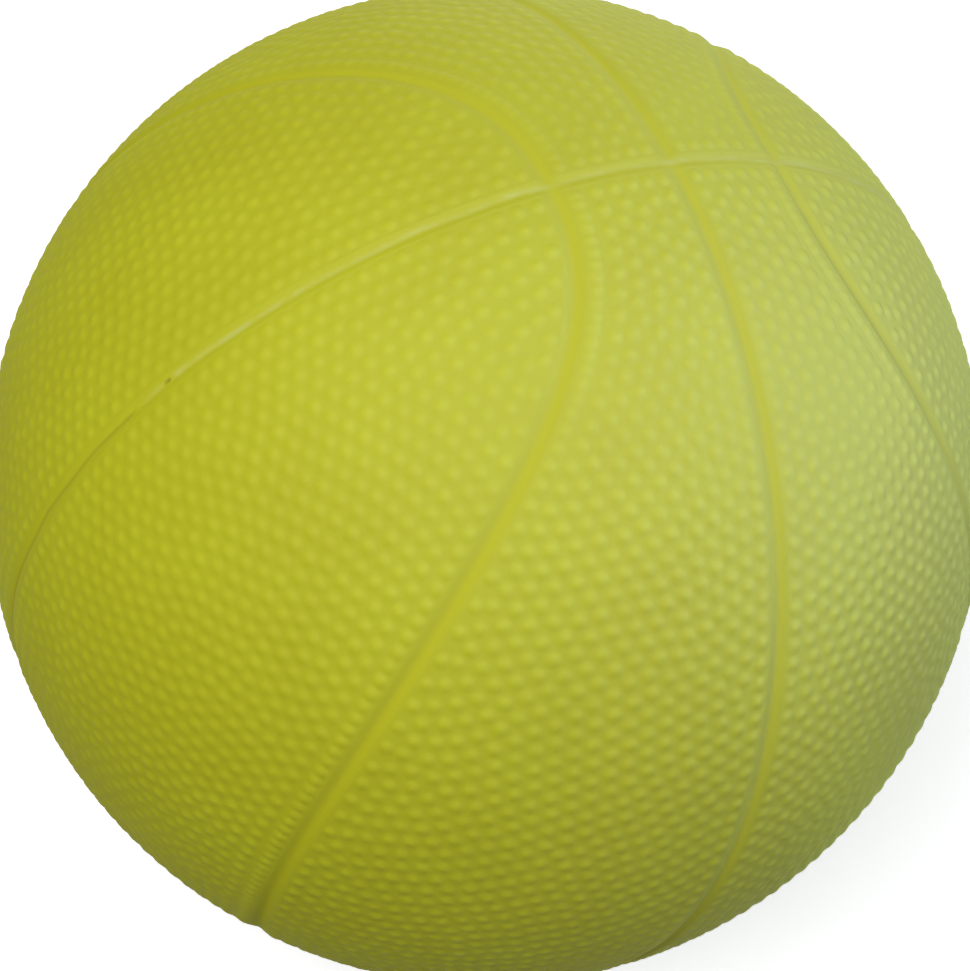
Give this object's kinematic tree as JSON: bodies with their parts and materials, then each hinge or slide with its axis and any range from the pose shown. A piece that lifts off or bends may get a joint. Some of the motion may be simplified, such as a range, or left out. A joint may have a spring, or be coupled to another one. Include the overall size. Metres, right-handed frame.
{
  "type": "dodgeball",
  "caption": "Inflated moulded rubber ball with pebbled cover panels between recessed seams, wound bladder inside, and a pull-out valve plug for an inflating needle.",
  "frame": {"origin": "centre of the ball", "axes": "+Y points out through the valve at the back, +Z to the crossing of the two straight seams at the top, +X to the right-hand curved seam"},
  "size_m": [0.216, 0.2159, 0.216],
  "materials": {
    "cover_rubber": "matte moulded, pebbled",
    "carcass_rubber": "matte cured coat",
    "nylon_thread": "wound thread",
    "bladder_rubber": "smooth butyl",
    "valve_rubber": "satin moulded"
  },
  "bodies": {
    "ball": {"bladder": "bladder_rubber", "bladder_patch": "bladder_rubber", "carcass": "carcass_rubber", "nylon_winding": "nylon_thread", "panel_band_left_back": "cover_rubber", "panel_band_left_front": "cover_rubber", "panel_band_right_back": "cover_rubber", "panel_band_right_front": "cover_rubber", "panel_oval_left_back": "cover_rubber", "panel_oval_left_front": "cover_rubber", "panel_oval_right_back": "cover_rubber", "panel_oval_right_front": "cover_rubber", "strip_cross_back_lower": "cover_rubber", "strip_cross_back_upper": "cover_rubber", "strip_cross_front": "cover_rubber", "strip_curved_left_back": "cover_rubber", "strip_curved_left_front": "cover_rubber", "strip_curved_right_back": "cover_rubber", "strip_curved_right_front": "cover_rubber", "strip_parting_ring": "cover_rubber", "valve_housing": "valve_rubber", "valve_pad": "cover_rubber"},
    "valve_plug": {"valve_plug": "valve_rubber"}
  },
  "joints": [
    {"name": "valve_plug_pull", "type": "slide", "parent": "ball", "child": "valve_plug", "axis": [0, 1, 0], "range_m": [0, 0.022]}
  ]
}
